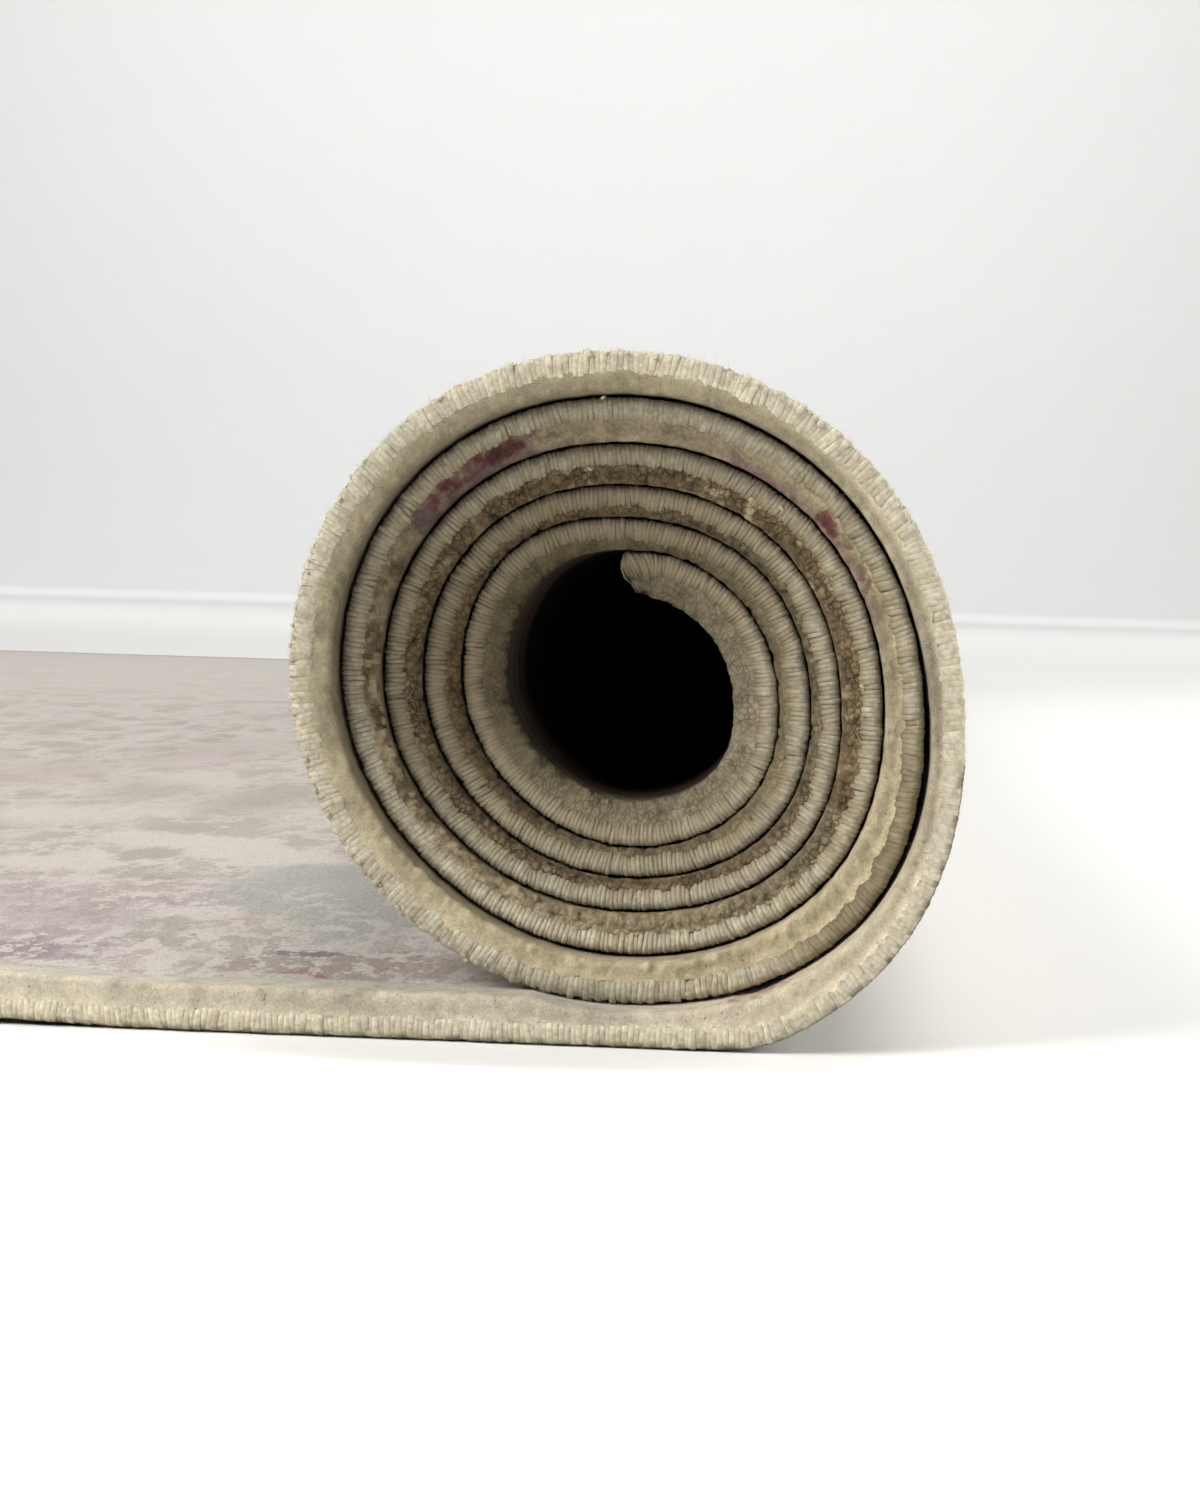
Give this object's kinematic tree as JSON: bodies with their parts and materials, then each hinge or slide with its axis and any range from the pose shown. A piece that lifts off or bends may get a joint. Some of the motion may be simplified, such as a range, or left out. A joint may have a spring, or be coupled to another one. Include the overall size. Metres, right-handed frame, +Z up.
{
  "type": "rolled up carpet",
  "caption": "Pile rug rolled up with the pile inwards, its last stretch lying flat, with overcast yarn round its edges.",
  "frame": {"origin": "on the floor, under the middle of the roll and halfway along it", "axes": "+Y along the roll's axis, from the end that the picture shows to the far one; +Z up; the flat stretch reaches towards -X"},
  "size_m": [0.7201, 1.7301, 0.1399],
  "materials": {
    "pile": "short cut wool pile, faded, matt",
    "overcast_yarn": "overcast wool yarn, matt"
  },
  "bodies": {
    "root": {"carpet": "pile", "side_binding_front": "overcast_yarn", "side_binding_rear": "overcast_yarn", "end_binding_outer": "overcast_yarn", "end_binding_inner": "overcast_yarn"}
  },
  "joints": []
}
